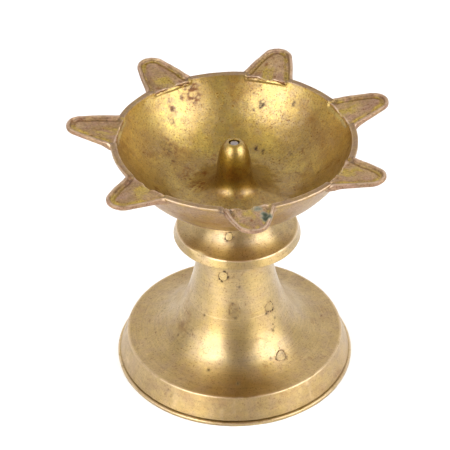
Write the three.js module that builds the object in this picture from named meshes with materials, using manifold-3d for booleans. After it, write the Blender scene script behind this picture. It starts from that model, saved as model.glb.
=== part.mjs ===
// Seven-wick brass oil lamp (diya): a shallow bowl with wick spouts round its rim, screwed to a
// trumpet-shaped pedestal. Millimetres, +Z up. The origin is on the lamp's axis, on the surface
// that the lamp stands on.
import * as THREE from 'three';
import { mergeVertices } from 'three/addons/utils/BufferGeometryUtils.js';
import Module from 'manifold-3d';

const wasm = await Module();
wasm.setup();

// ---- Driving dimensions -------------------------------------------------------------------

const GAP = 0.3;                 // clearance between neighbouring pieces
const ROUND_STEPS = 48;          // facets round every large turned piece

const RIM_RADIUS = 54;           // outside of the bowl's rim
const RIM_HEIGHT = 120;
const BOWL_RADIUS = 58;          // the bowl is a cap of a sphere: its outer radius
const BOWL_WALL = 2.4;
const RIM_EDGE = 0.6;            // the small bevel on both edges of the rim

const HUMP_HEIGHT = 117.6;       // top of the boss in the middle of the bowl
const HUMP_WAIST_RADIUS = 7.8;   // where the boss turns from a nose into a flare
const HUMP_WAIST_HEIGHT = 101.9;
const HUMP_NOSE_PULL = [[7.6, 110.5], [6.9, 116.8]];  // (radius, height) that bend the nose
const HUMP_TOP_RADIUS = 3;       // edge of the boss's flat top
const HUMP_FOOT = [16, 93.2];    // (radius, height) where the flare turns over in the valley
const HUMP_FOOT_PULL = [[11.7, 94.6], [8.5, 97]];
const VALLEY_RADIUS = 26;        // where the valley round the boss meets the bowl's floor
const VALLEY_PULL = [[23, 90.3], [20.3, 91.8]];

const COLLAR_EDGE_RADIUS = 27.5; // upper edge of the collar's band
const COLLAR_EDGE_HEIGHT = 72.7;
const COLLAR_FOOT_RADIUS = 28.9; // lower edge of the collar's band
const COLLAR_FOOT_HEIGHT = 68.7;
const COLLAR_SEAT_RADIUS = 16.8; // where the collar meets the bowl's underside
const COLLAR_HOLLOW_PULL = [[20.5, 74.2], [17.4, 78.7]];
const COLLAR_BOTTOM = 65.5;
const COLLAR_OFFSET = 1.2;       // the collar sits a little to one side of the axis

const NECK_RADIUS = 15.9;        // top of the pedestal
const NECK_WEB = 9.7;            // thickness of the solid top that holds the thread
const SHOULDER_RADIUS = 50;      // crisp edge where the flare becomes the band
const SHOULDER_HEIGHT = 12.8;
const FLARE_PULL = [[33, 12.8], [20.9, 20]];
const BAND_RADIUS = 54;          // the band's lower edge, just above the lip
const BAND_HEIGHT = 2.3;
const FOOT_RADIUS = 53.4;        // bottom of the pedestal, just inside the band's edge
const PEDESTAL_WALL = 3;
const INSIDE_NECK_RADIUS = 12.5; // top of the hollow
const INSIDE_PULL = [[17.4, 19], [30, 9.8]];

const PLATE_RADIUS = 55.2;       // the bottom plate's edge stands out as a thin lip
const PLATE_THICKNESS = 1.5;
const PLATE_SPIGOT = 1.6;        // height of the step that sits inside the pedestal
const SPIGOT_RADIUS = 46.2;

const STUD_RADIUS = 4;           // threaded part
const STUD_LEAD = 0.8;           // bevel on the thread's lower end
const SHANK_RADIUS = 2.1;        // the part riveted through the boss
const RIVET_DEPTH = 0.65;        // how far the shank's end lies below the top of the boss

const SPOUT_TIP_RADIUS = 7;
const SPOUT_ROOT_HALF = 11.2;    // half the width where it meets the rim
const SPOUT_THICKNESS = 2.1;
const SPOUT_BEVEL = 0.5;
const SPOUT_BORDER = 2.3;        // raised border round the trough
const TROUGH_DEPTH = 0.9;
const CHANNEL_WIDTH = 6.5;       // the groove that the wick lies in
const CHANNEL_DEPTH = 1.5;
const CHANNEL_END = 67;          // distance of the groove's outer end from the axis

// The spouts are fitted by hand, so each differs a little: its place round the rim, how far it is
// turned sideways and tilted up about its root (all in degrees), and how far its tip reaches.
const SPOUTS = [
  { azimuth: 173, turn: -2, rise: 4, reach: 74.5 },
  { azimuth: 124, turn: -1, rise: 6.5, reach: 74.5 },
  { azimuth: 73, turn: -1, rise: 6, reach: 74.3 },
  { azimuth: 23, turn: 0, rise: 6, reach: 74.4 },
  { azimuth: -29, turn: 2, rise: 8, reach: 72.2 },
  { azimuth: -84, turn: 5, rise: 4, reach: 70 },
  { azimuth: -135, turn: 0, rise: 3.5, reach: 72.5 },
];

// ---- Materials ----------------------------------------------------------------------------

function brass(color, roughness) {
  return new THREE.MeshStandardMaterial({ color, roughness, metalness: 1 });
}

const TURNED_BRASS = brass(0xb59a5c, 0.36);
const BOWL_BRASS = brass(0xa58a45, 0.42);
const SPOUT_BRASS = brass(0x9c8268, 0.5);
const PLUG_BRASS = brass(0x9f8748, 0.45);
const IRON = new THREE.MeshStandardMaterial({ color: 0x6f6c66, roughness: 0.55, metalness: 1 });

// ---- Helpers ------------------------------------------------------------------------------

function point(radius, height) {
  return new THREE.Vector2(radius, height);
}

// Points along a cubic curve from one point to another, bent by two pulls, without its first.
function curve(from, pulls, to, steps) {
  const bends = pulls.map(([radius, height]) => point(radius, height));
  return new THREE.CubicBezierCurve(from, ...bends, to).getPoints(steps).slice(1);
}

// Points on a sphere about the lamp's axis, from one distance off the axis to another.
function sphereArc(radius, centreHeight, from, to, steps) {
  const start = Math.asin(from / radius);
  const end = Math.asin(to / radius);
  const points = [];
  for (let i = 0; i <= steps; i += 1) {
    const angle = start + ((end - start) * i) / steps;
    points.push(point(radius * Math.sin(angle), centreHeight - radius * Math.cos(angle)));
  }
  return points;
}

function toSolid(geometry) {
  const bare = geometry.clone();
  bare.deleteAttribute('normal');
  bare.deleteAttribute('uv');
  const merged = mergeVertices(bare, 1e-4);
  return new wasm.Manifold(new wasm.Mesh({
    numProp: 3,
    vertProperties: new Float32Array(merged.attributes.position.array),
    triVerts: new Uint32Array(merged.index.array),
  }));
}

function toGeometry(solid) {
  const mesh = solid.getMesh();
  const geometry = new THREE.BufferGeometry();
  geometry.setAttribute('position', new THREE.BufferAttribute(mesh.vertProperties, 3));
  geometry.setIndex(new THREE.BufferAttribute(mesh.triVerts, 1));
  geometry.computeVertexNormals();
  return geometry;
}

// A solid turned about +Z from an outline that runs anticlockwise in (radius, height).
function turned(outline, steps = ROUND_STEPS) {
  return toSolid(new THREE.LatheGeometry(outline, steps).rotateX(Math.PI / 2));
}

function ring(innerRadius, outerRadius, bottom, top, steps = ROUND_STEPS) {
  return turned([
    point(innerRadius, bottom),
    point(outerRadius, bottom),
    point(outerRadius, top),
    point(innerRadius, top),
    point(innerRadius, bottom),
  ], steps);
}

function addMesh(parent, name, solid, material) {
  const mesh = new THREE.Mesh(toGeometry(solid), material);
  mesh.name = name;
  parent.add(mesh);
  return mesh;
}

// ---- Bowl ---------------------------------------------------------------------------------

const BOWL_CENTRE = RIM_HEIGHT + Math.sqrt(BOWL_RADIUS ** 2 - RIM_RADIUS ** 2);
const BOWL_INNER_RADIUS = BOWL_RADIUS - BOWL_WALL;
const BOWL_BOTTOM = BOWL_CENTRE - BOWL_RADIUS;
const RIM_INNER_RADIUS = Math.sqrt(BOWL_INNER_RADIUS ** 2 - (BOWL_CENTRE - RIM_HEIGHT) ** 2);

function sphereHeight(radius, sphereRadius) {
  return BOWL_CENTRE - Math.sqrt(sphereRadius ** 2 - radius ** 2);
}

function bowlSolid() {
  const bore = SHANK_RADIUS + GAP;
  const valley = point(VALLEY_RADIUS, sphereHeight(VALLEY_RADIUS, BOWL_INNER_RADIUS));
  const foot = point(...HUMP_FOOT);
  const waist = point(HUMP_WAIST_RADIUS, HUMP_WAIST_HEIGHT);
  const crown = point(HUMP_TOP_RADIUS, HUMP_HEIGHT);
  const rimBevelInside = RIM_INNER_RADIUS + RIM_EDGE;
  const outside = sphereArc(BOWL_RADIUS, BOWL_CENTRE, bore, RIM_RADIUS - RIM_EDGE / 3, 10);
  const inside = sphereArc(
    BOWL_INNER_RADIUS,
    BOWL_CENTRE,
    RIM_INNER_RADIUS - RIM_EDGE / 3,
    VALLEY_RADIUS,
    6,
  );
  const blank = turned([
    ...outside,
    point(RIM_RADIUS, RIM_HEIGHT - RIM_EDGE),
    point(RIM_RADIUS - RIM_EDGE / 2, RIM_HEIGHT),
    point(rimBevelInside, RIM_HEIGHT),
    ...inside,
    ...curve(valley, VALLEY_PULL, foot, 4),
    ...curve(foot, HUMP_FOOT_PULL, waist, 4),
    ...curve(waist, HUMP_NOSE_PULL, crown, 4),
    point(bore, HUMP_HEIGHT),
    outside[0],
  ]);
  return SPOUTS.reduce((solid, spout) => solid.subtract(rimNotch(spout.azimuth)), blank);
}

// The gap in the rim that lets a wick lie from the oil into its spout.
function rimNotch(azimuth) {
  const length = 3 * BOWL_WALL;
  const height = 2 * CHANNEL_DEPTH;
  const notch = new THREE.BoxGeometry(length, CHANNEL_WIDTH, height);
  notch.translate(RIM_RADIUS - BOWL_WALL / 2, 0, RIM_HEIGHT);
  notch.rotateZ(THREE.MathUtils.degToRad(azimuth));
  return toSolid(notch);
}

// ---- Wick spouts --------------------------------------------------------------------------

// A tongue that narrows from the rim to a round tip, seen from above and pointing along +X.
function tongueShape(rootX, rootHalf, tipX, tipRadius) {
  const centre = tipX - tipRadius;
  const reach = Math.hypot(centre - rootX, rootHalf);
  const lean = Math.atan2(rootHalf, centre - rootX);
  const tangent = Math.PI / 2 - (lean - Math.asin(tipRadius / reach));
  const shape = new THREE.Shape();
  shape.moveTo(rootX, -rootHalf);
  shape.lineTo(centre + tipRadius * Math.cos(tangent), -tipRadius * Math.sin(tangent));
  shape.absarc(centre, 0, tipRadius, -tangent, tangent, false);
  shape.lineTo(rootX, rootHalf);
  shape.closePath();
  return shape;
}

function slab(shape, bottom, top) {
  const geometry = new THREE.ExtrudeGeometry(shape, {
    depth: top - bottom,
    bevelEnabled: false,
    curveSegments: 5,
  });
  return toSolid(geometry.translate(0, 0, bottom));
}

// The plate with its edges bevelled, its shallow trough and the wick's channel, still level.
function spoutPlate(reach) {
  const inset = 5;
  const rootX = RIM_RADIUS - inset;
  const flare = (SPOUT_ROOT_HALF - SPOUT_TIP_RADIUS) / (reach - SPOUT_TIP_RADIUS - RIM_RADIUS);
  const rootHalf = SPOUT_ROOT_HALF + inset * flare;
  const bevel = SPOUT_BEVEL;
  const outline = tongueShape(rootX, rootHalf - bevel, reach - bevel, SPOUT_TIP_RADIUS - bevel);
  const blank = new THREE.ExtrudeGeometry(outline, {
    depth: SPOUT_THICKNESS - 2 * bevel,
    bevelEnabled: true,
    bevelThickness: bevel,
    bevelSize: bevel,
    bevelSegments: 1,
    curveSegments: 8,
  });
  blank.translate(0, 0, bevel - SPOUT_THICKNESS);
  const trough = tongueShape(
    rootX - 1,
    rootHalf - 1.6 * SPOUT_BORDER,
    reach - SPOUT_BORDER,
    SPOUT_TIP_RADIUS - SPOUT_BORDER,
  );
  const channel = tongueShape(rootX - 1, CHANNEL_WIDTH / 2, CHANNEL_END, CHANNEL_WIDTH / 2 - 0.4);
  return toSolid(blank)
    .subtract(slab(trough, -TROUGH_DEPTH, 1))
    .subtract(slab(channel, -CHANNEL_DEPTH, 1));
}

// The plate tilted up and turned sideways about its root, and cut to the bowl's round outside.
function spoutSolid(spout) {
  const plate = spoutPlate(spout.reach)
    .translate([-RIM_RADIUS, 0, 0])
    .rotate([0, -spout.rise, 0])
    .rotate([0, 0, spout.turn])
    .translate([RIM_RADIUS, 0, RIM_HEIGHT]);
  const clearRadius = (RIM_RADIUS + GAP) / Math.cos(Math.PI / ROUND_STEPS);
  const bowlRoom = ring(10, clearRadius, RIM_HEIGHT - 10, RIM_HEIGHT + 10);
  return plate.subtract(bowlRoom);
}

// ---- Collar -------------------------------------------------------------------------------

// A turned ring, hollowed to seat the round bottom of the bowl and bored for the stud.
function collarSolid() {
  const bore = STUD_RADIUS + GAP;
  const seatTop = BOWL_CENTRE - Math.sqrt((BOWL_RADIUS + GAP) ** 2 - COLLAR_SEAT_RADIUS ** 2);
  const edge = point(COLLAR_EDGE_RADIUS, COLLAR_EDGE_HEIGHT);
  const hollow = curve(edge, COLLAR_HOLLOW_PULL, point(COLLAR_SEAT_RADIUS, seatTop), 6);
  const blank = turned([
    point(0, COLLAR_BOTTOM),
    point(NECK_RADIUS + 1, COLLAR_BOTTOM),
    point(COLLAR_FOOT_RADIUS - 1.2, COLLAR_FOOT_HEIGHT - 0.8),
    point(COLLAR_FOOT_RADIUS, COLLAR_FOOT_HEIGHT),
    point(COLLAR_EDGE_RADIUS + 0.2, COLLAR_EDGE_HEIGHT - 0.5),
    edge,
    ...hollow,
    point(0, seatTop),
  ]).translate([COLLAR_OFFSET, 0, 0]);
  const bowlRoom = turned([
    ...sphereArc(BOWL_RADIUS + GAP, BOWL_CENTRE, 0, COLLAR_EDGE_RADIUS, 8),
    point(0, RIM_HEIGHT),
  ]);
  const studRoom = ring(0, bore, COLLAR_BOTTOM - 1, BOWL_BOTTOM, 24);
  return blank.subtract(bowlRoom).subtract(studRoom);
}

// ---- Pedestal -----------------------------------------------------------------------------

const NECK_TOP = COLLAR_BOTTOM - GAP;
const WEB_BOTTOM = NECK_TOP - NECK_WEB;
const FOOT_HEIGHT = PLATE_THICKNESS + GAP;

function pedestalSolid() {
  const bore = STUD_RADIUS + GAP;
  const shoulder = point(SHOULDER_RADIUS, SHOULDER_HEIGHT);
  const insideTop = point(INSIDE_NECK_RADIUS, WEB_BOTTOM);
  const ceiling = SHOULDER_HEIGHT - PEDESTAL_WALL;
  const insideEdge = point(SHOULDER_RADIUS - PEDESTAL_WALL, ceiling);
  return turned([
    point(FOOT_RADIUS - PEDESTAL_WALL, FOOT_HEIGHT),
    point(FOOT_RADIUS, FOOT_HEIGHT),
    point(BAND_RADIUS, BAND_HEIGHT),
    point(SHOULDER_RADIUS + 0.3, SHOULDER_HEIGHT - 0.6),
    shoulder,
    ...curve(shoulder, FLARE_PULL, point(NECK_RADIUS, NECK_TOP), 11),
    point(bore, NECK_TOP),
    point(bore, WEB_BOTTOM),
    insideTop,
    ...curve(insideTop, INSIDE_PULL, insideEdge, 7),
    point(FOOT_RADIUS - PEDESTAL_WALL, FOOT_HEIGHT),
  ]);
}

function bottomPlateSolid() {
  const edge = PLATE_THICKNESS / 4;
  return turned([
    point(0, 0),
    point(PLATE_RADIUS - edge, 0),
    point(PLATE_RADIUS, edge),
    point(PLATE_RADIUS, PLATE_THICKNESS - edge),
    point(PLATE_RADIUS - edge, PLATE_THICKNESS),
    point(SPIGOT_RADIUS, PLATE_THICKNESS),
    point(SPIGOT_RADIUS, PLATE_THICKNESS + PLATE_SPIGOT),
    point(0, PLATE_THICKNESS + PLATE_SPIGOT),
  ]);
}

// ---- Plugs that close the casting's core holes ----------------------------------------------

// Place of each plug on the outside of its casting, and the way its pin leans above level.
const PEDESTAL_PLUGS = [
  { azimuth: -107, height: 55.5, radius: 2.0, lean: 9 },
  { azimuth: -90, height: 39, radius: 2.2, lean: 16 },
  { azimuth: -42, height: 36.2, radius: 2.0, lean: 18 },
  { azimuth: -51, height: 17, radius: 2.3, lean: 62 },
];
const COLLAR_PLUG = { azimuth: -101, height: 79.2, radius: 1.7, lean: 18 };

// A pin through a wall, from inside the hollow to beyond the outside, leaning up from level.
function plugPin(plug, wallRadius, radius, inward) {
  const outward = 6;
  const pin = new THREE.CylinderGeometry(radius, radius, inward + outward, 16);
  pin.rotateZ(-Math.PI / 2);
  pin.translate((outward - inward) / 2, 0, 0);
  pin.rotateY(-THREE.MathUtils.degToRad(plug.lean));
  pin.translate(wallRadius, 0, plug.height);
  pin.rotateZ(THREE.MathUtils.degToRad(plug.azimuth));
  return toSolid(pin);
}

// Distance from the axis to the outside of a turned casting at a plug's height.
function outsideRadius(solid, plug) {
  const level = new THREE.BoxGeometry(2 * PLATE_RADIUS, 0.2, 0.2);
  level.translate(0, 0, plug.height);
  return solid.intersect(toSolid(level)).boundingBox().max[0];
}

// Cuts the plugs' holes in a casting and returns it with the plugs that fill them flush.
function plugCasting(casting, plugs, inward) {
  const pieces = [];
  let cut = casting;
  plugs.forEach((plug) => {
    const wallRadius = outsideRadius(casting, plug);
    pieces.push(casting.intersect(plugPin(plug, wallRadius, plug.radius, inward)));
    cut = cut.subtract(plugPin(plug, wallRadius, plug.radius + GAP, inward));
  });
  return { cut, pieces };
}

// ---- Stud ---------------------------------------------------------------------------------

function studSolid() {
  const shoulder = BOWL_BOTTOM - GAP;
  return turned([
    point(0, WEB_BOTTOM),
    point(STUD_RADIUS - STUD_LEAD, WEB_BOTTOM),
    point(STUD_RADIUS, WEB_BOTTOM + STUD_LEAD),
    point(STUD_RADIUS, shoulder),
    point(SHANK_RADIUS, shoulder),
    point(SHANK_RADIUS, HUMP_HEIGHT - RIVET_DEPTH),
    point(0, HUMP_HEIGHT - RIVET_DEPTH),
  ], 24);
}

// ---- Assembly -----------------------------------------------------------------------------

const group = new THREE.Group();
const base = new THREE.Group();
const top = new THREE.Group();
group.add(base, top);

const pedestal = plugCasting(pedestalSolid(), PEDESTAL_PLUGS, 5);
const collar = plugCasting(collarSolid(), [COLLAR_PLUG], 3);
addMesh(base, 'pedestal', pedestal.cut, TURNED_BRASS);
addMesh(base, 'bottom_plate', bottomPlateSolid(), TURNED_BRASS);
addMesh(base, 'collar', collar.cut, TURNED_BRASS);
[...pedestal.pieces, ...collar.pieces].forEach((piece, index) => {
  addMesh(base, `core_plug_${index + 1}`, piece, PLUG_BRASS);
});

addMesh(top, 'threaded_stud', studSolid(), IRON);
addMesh(top, 'bowl', bowlSolid(), BOWL_BRASS);
SPOUTS.forEach((spout, index) => {
  const piece = addMesh(top, `wick_spout_${index + 1}`, spoutSolid(spout), SPOUT_BRASS);
  piece.rotation.z = THREE.MathUtils.degToRad(spout.azimuth);
});

export default group;
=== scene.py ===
import math

import bmesh
import bpy
import numpy as np
from mathutils import Matrix, Vector


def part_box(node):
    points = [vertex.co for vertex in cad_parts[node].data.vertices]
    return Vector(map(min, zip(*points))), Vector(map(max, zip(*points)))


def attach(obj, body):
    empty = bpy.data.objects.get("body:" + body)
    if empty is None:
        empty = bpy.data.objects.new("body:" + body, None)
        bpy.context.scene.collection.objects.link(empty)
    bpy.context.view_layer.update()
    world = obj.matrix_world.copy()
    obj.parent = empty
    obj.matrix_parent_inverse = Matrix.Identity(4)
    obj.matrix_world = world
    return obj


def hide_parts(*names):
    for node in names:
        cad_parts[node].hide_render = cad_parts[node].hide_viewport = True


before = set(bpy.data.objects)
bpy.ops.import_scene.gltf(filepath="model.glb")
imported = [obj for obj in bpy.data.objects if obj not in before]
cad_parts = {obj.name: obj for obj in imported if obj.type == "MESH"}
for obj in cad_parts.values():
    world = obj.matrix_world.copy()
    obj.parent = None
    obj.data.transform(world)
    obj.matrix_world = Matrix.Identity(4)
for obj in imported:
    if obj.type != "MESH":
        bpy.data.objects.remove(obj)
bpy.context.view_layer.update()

MM = 0.001


def box_mm(node):
    """Lowest and highest corner of a CAD node, in millimetres."""
    low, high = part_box(node)
    return np.array(low) / MM, np.array(high) / MM


# ---- Places taken from the frame and sizes chosen from the photo (millimetres) ----

GAP = 0.3
RIM_Z = box_mm("bowl")[1][2]
RIM_R = box_mm("bowl")[1][0]
PLATE_R = box_mm("bottom_plate")[1][0]
BAND_FOOT_R = 54.0
NECK_TOP = box_mm("pedestal")[1][2]
FOOT_Z = box_mm("pedestal")[0][2]
COLLAR_LOW, COLLAR_HIGH = box_mm("collar")
COLLAR_X = (COLLAR_LOW[0] + COLLAR_HIGH[0]) / 2
COLLAR_R = (COLLAR_HIGH[0] - COLLAR_LOW[0]) / 2
STUD_LOW, STUD_HIGH = box_mm("threaded_stud")
STUD_R = STUD_HIGH[0]
THREAD_PITCH = 1.25

BOWL_R = 58.0  # outside of the sphere that the bowl is a cap of
BOWL_WALL = 2.4
BOWL_CENTRE = RIM_Z + math.sqrt(BOWL_R**2 - RIM_R**2)
INNER_R = BOWL_R - BOWL_WALL
RIM_INNER = math.sqrt(INNER_R**2 - (BOWL_CENTRE - RIM_Z) ** 2)
HUMP_TOP = RIM_Z - 2.4
HUMP_WAIST = (7.8, RIM_Z - 18.1)
HUMP_SKIRT = 31.0
BORE_R = 2.4
SHANK_R = 2.1
SHOULDER = (50.0, 12.8)
PLATE_TOP = FOOT_Z - GAP

SPOUT_ROOT_HALF = 11.2  # half a spout's width where it meets the rim


def table(columns, *rows):
    """Rows of values as dictionaries with the same keys."""
    return [dict(zip(columns.split(), row)) for row in rows]


# Angles in degrees. Left is half the root's width on the left of a spout's middle line.
SPOUTS = table(
    "azimuth turn rise reach left",
    (173, -2, 4.0, 74.5, SPOUT_ROOT_HALF),
    (124, -1, 6.5, 74.5, SPOUT_ROOT_HALF),
    (73, -1, 6.0, 74.3, SPOUT_ROOT_HALF),
    (23, 0, 6.0, 74.4, SPOUT_ROOT_HALF),
    (-29, 2, 8.0, 72.2, SPOUT_ROOT_HALF),
    (-84, 5, 4.0, 70.0, 9.3),
    (-135, 0, 3.5, 72.5, SPOUT_ROOT_HALF),
)
# Lobes: how far the outline strays from a circle. Dark: how much dirt sits in the joint. Fill: how
# much darker the plug is than the casting.
PLUGS = table(
    "node azimuth height radius tall lobes dark fill",
    ("core_plug_1", -107, 55.5, 2.1, 1.15, 0.09, 1.2, 0.1),
    ("core_plug_2", -90, 39.0, 2.3, 1.45, 0.08, 0.35, 0.8),
    ("core_plug_3", -42, 36.2, 2.3, 1.0, 0.16, 0.9, 0.25),
    ("core_plug_4", -51, 17.0, 3.0, 0.7, 0.20, 0.3, 0.35),
    ("core_plug_5", -101, 79.2, 1.8, 1.0, 0.06, 0.55, 0.2),
)
PEDESTAL_PLUGS, COLLAR_PLUG = PLUGS[:4], PLUGS[4]
# Rings and blots on the pedestal that are marks only: azimuth, height, radius (0 for a blot), darkness.
PEDESTAL_MARKS = [
    (-46, 27.5, 1.1, 0.8), (-47, 26.0, 0.0, 0.7), (-64.5, 16.0, 1.3, 0.5), (-60, 17.5, 0.0, 0.5),
    (-109, 15.5, 0.0, 0.9), (-83, 50.6, 0.0, 0.7), (-39, 30.2, 0.0, 0.6), (-49, 34.2, 0.0, 0.9),
    (-101, 55.0, 0.0, 0.8), (-125, 8.6, 1.5, 0.5), (-140, 24.0, 1.2, 0.5), (-128, 34.0, 0.0, 0.6),
    (-116, 20.5, 1.3, 0.35), (-88, 13.6, 0.0, 0.8), (-150, 20.0, 0.0, 0.5), (30, 30.0, 0.0, 0.5),
    (75, 22.0, 1.6, 0.4), (140, 41.0, 0.0, 0.6), (168, 17.0, 1.4, 0.5), (105, 9.0, 0.0, 0.6),
]


# ---- Repeatable noise ----

def lattice(cells, seed):
    """Repeatable values from 0 to 1, one for each whole-number cell."""
    x, y, z = (cells[..., i].astype(np.int64) for i in range(3))
    mixed = (x * 73856093) ^ (y * 19349663) ^ (z * 83492791) ^ (seed * 2654435761)
    mixed = ((mixed ^ (mixed >> 15)) * 2246822519) & 0xFFFFFFFF
    mixed = ((mixed ^ (mixed >> 13)) * 3266489917) & 0xFFFFFFFF
    return (mixed >> 8 & 0xFFFF) / 65535.0


def value_noise(points, size, seed):
    """Smooth noise from -1 to 1 whose features are about size across."""
    scaled = np.asarray(points, float) / size
    cell = np.floor(scaled)
    part = scaled - cell
    part = part * part * (3 - 2 * part)
    total = np.zeros(len(scaled))
    for corner in range(8):
        step = np.array([corner & 1, corner >> 1 & 1, corner >> 2 & 1])
        weight = np.prod(np.where(step, part, 1 - part), axis=1)
        total += weight * lattice(cell + step, seed)
    return total * 2 - 1


def noise(points, size, seed, octaves=3):
    """Noise of several sizes, each half as large and half as strong as the last."""
    total = sum(value_noise(points, size / 2**k, seed + k) / 2**k for k in range(octaves))
    return total / (2 - 2.0 ** (1 - octaves))


def ease(low, high, value):
    """Goes smoothly from 0 at low to 1 at high. High may be the smaller of the two."""
    t = np.clip((value - low) / (high - low), 0, 1)
    return t * t * (3 - 2 * t)


def bump_at(value, centre, width):
    """1 at the centre, falling to nothing about two widths away from it."""
    return np.exp(-(((value - centre) / width) ** 2))


# ---- Outlines ----

def bezier(a, b, c, d, count):
    """Points on a cubic curve, without its first."""
    t = np.linspace(0, 1, count + 1)[1:, None]
    a, b, c, d = (np.array(p, float) for p in (a, b, c, d))
    return (1 - t) ** 3 * a + 3 * (1 - t) ** 2 * t * b + 3 * (1 - t) * t**2 * c + t**3 * d


def sphere_arc(radius, r_from, r_to, count):
    """Points of a sphere about the bowl's centre, by distance from the lamp's axis."""
    angles = np.linspace(math.asin(r_from / radius), math.asin(r_to / radius), count)
    return np.stack([radius * np.sin(angles), BOWL_CENTRE - radius * np.cos(angles)], 1)


def rounded(corners, arc_steps=5):
    """A line through corners (r, z, rounding), with an arc of that size at each rounded corner."""
    points = [np.array(corners[0][:2], float)]
    for before, here, after in zip(corners[:-2], corners[1:-1], corners[2:]):
        p, a, b = (np.array(c[:2], float) for c in (here, before, after))
        size = here[2] if len(here) > 2 else 0
        if size == 0:
            points.append(p)
            continue
        to_a, to_b = (a - p) / np.linalg.norm(a - p), (b - p) / np.linalg.norm(b - p)
        t = np.linspace(0, 1, arc_steps)[:, None]
        start, end = p + to_a * size, p + to_b * size
        points.extend((1 - t) ** 2 * start + 2 * (1 - t) * t * p + t**2 * end)
    points.append(np.array(corners[-1][:2], float))
    return np.array(points)


def resample(points, step):
    """The same line with extra points, so that no stretch is longer than step."""
    out = [points[0]]
    for a, b in zip(points[:-1], points[1:]):
        count = max(1, math.ceil(np.linalg.norm(b - a) / step))
        out.extend(a + (b - a) * k / count for k in range(1, count + 1))
    return np.array(out)


# ---- Mesh making ----

def add_object(name, data):
    """Puts a mesh, camera or light into the scene."""
    added = bpy.data.objects.new(name, data)
    bpy.context.scene.collection.objects.link(added)
    return added


def shade_smooth(mesh):
    mesh.polygons.foreach_set("use_smooth", np.ones(len(mesh.polygons), bool))


def make_object(name, points_mm, faces):
    mesh = bpy.data.meshes.new(name)
    mesh.from_pydata((np.asarray(points_mm) * MM).tolist(), [], faces)
    shade_smooth(mesh)
    mesh.update()
    return add_object(name, mesh)


def ring_angles(steps):
    return np.arange(steps) / steps * 2 * math.pi


def on_unit_ring(angle):
    return np.column_stack([np.cos(angle), np.sin(angle), np.zeros(len(angle))])


def revolve(name, outline, steps):
    """A turned solid. The outline is a closed loop, or starts and ends on the axis."""
    closed = np.linalg.norm(outline[0] - outline[-1]) < 1e-6
    rows = outline[:-1] if closed else outline[1:-1]
    angles = ring_angles(steps)
    ring = np.stack([np.cos(angles), np.sin(angles)], 1)
    points = np.concatenate(
        [np.column_stack([ring * r, np.full(steps, z)]) for r, z in rows]
    )
    count = len(rows)
    nexts = np.roll(np.arange(steps), -1)
    faces = []
    for i in range(count if closed else count - 1):
        a, b = i * steps, (i + 1) % count * steps
        faces.extend((a + k, a + n, b + n, b + k) for k, n in enumerate(nexts.tolist()))
    if not closed:
        low, high = len(points), len(points) + 1
        points = np.vstack([points, [0, 0, outline[0][1]], [0, 0, outline[-1][1]]])
        last = (count - 1) * steps
        faces.extend((n, k, low) for k, n in enumerate(nexts.tolist()))
        faces.extend((last + k, last + n, high) for k, n in enumerate(nexts.tolist()))
    return make_object(name, points, faces)


def vectors_of(piece, name):
    flat = np.empty(len(piece.data.vertices) * 3)
    piece.data.vertices.foreach_get(name, flat)
    return flat.reshape(-1, 3)


def points_of(piece):
    """A piece's vertices in millimetres."""
    return vectors_of(piece, "co") / MM


def move_points(piece, points_mm):
    piece.data.vertices.foreach_set("co", (points_mm * MM).ravel())
    piece.data.update()


def warp(piece, amount, size, seed):
    """Gives a surface the slight unevenness of a casting."""
    points = points_of(piece)
    push = noise(points, size, seed) * amount
    move_points(piece, points + vectors_of(piece, "normal") * push[:, None])


def cut_with(piece, cutter):
    """Cuts one closed piece out of another and drops the cutter."""
    boolean = piece.modifiers.new("cut", "BOOLEAN")
    boolean.object = cutter
    boolean.operation = "DIFFERENCE"
    boolean.solver = "EXACT"
    shape = piece.evaluated_get(bpy.context.evaluated_depsgraph_get())
    cut = bpy.data.meshes.new_from_object(shape)
    piece.modifiers.clear()
    piece.data = cut
    shade_smooth(cut)
    bpy.data.objects.remove(cutter)


def paint(piece, grain, wear_and_highlight=0, grime_and_shade=0, stain_and_shade=0, bare=0, verdigris=0, shade=0):
    """Stores per vertex what the materials read: wear, grime and stain from 0 to 1, how bare, green or
    dull the brass is, and the coordinates of its grain. Grime also carries painted shade and shadow,
    wear a painted highlight on the rim's front edges, and stain painted shade and reflection round the
    bowl's boss."""
    marks = [np.clip(value, 0, 1) for value in (wear_and_highlight, grime_and_shade, stain_and_shade)]
    for name, columns in (("marks", marks), ("tones", (bare, verdigris, shade)), ("grain", grain)):
        filled = [np.broadcast_to(column, len(piece.data.vertices)) for column in columns]
        layer = piece.data.attributes.new(name, "FLOAT_VECTOR", "POINT")
        layer.data.foreach_set("vector", np.column_stack(filled).astype(np.float32).ravel())


# ---- Materials ----

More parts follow.
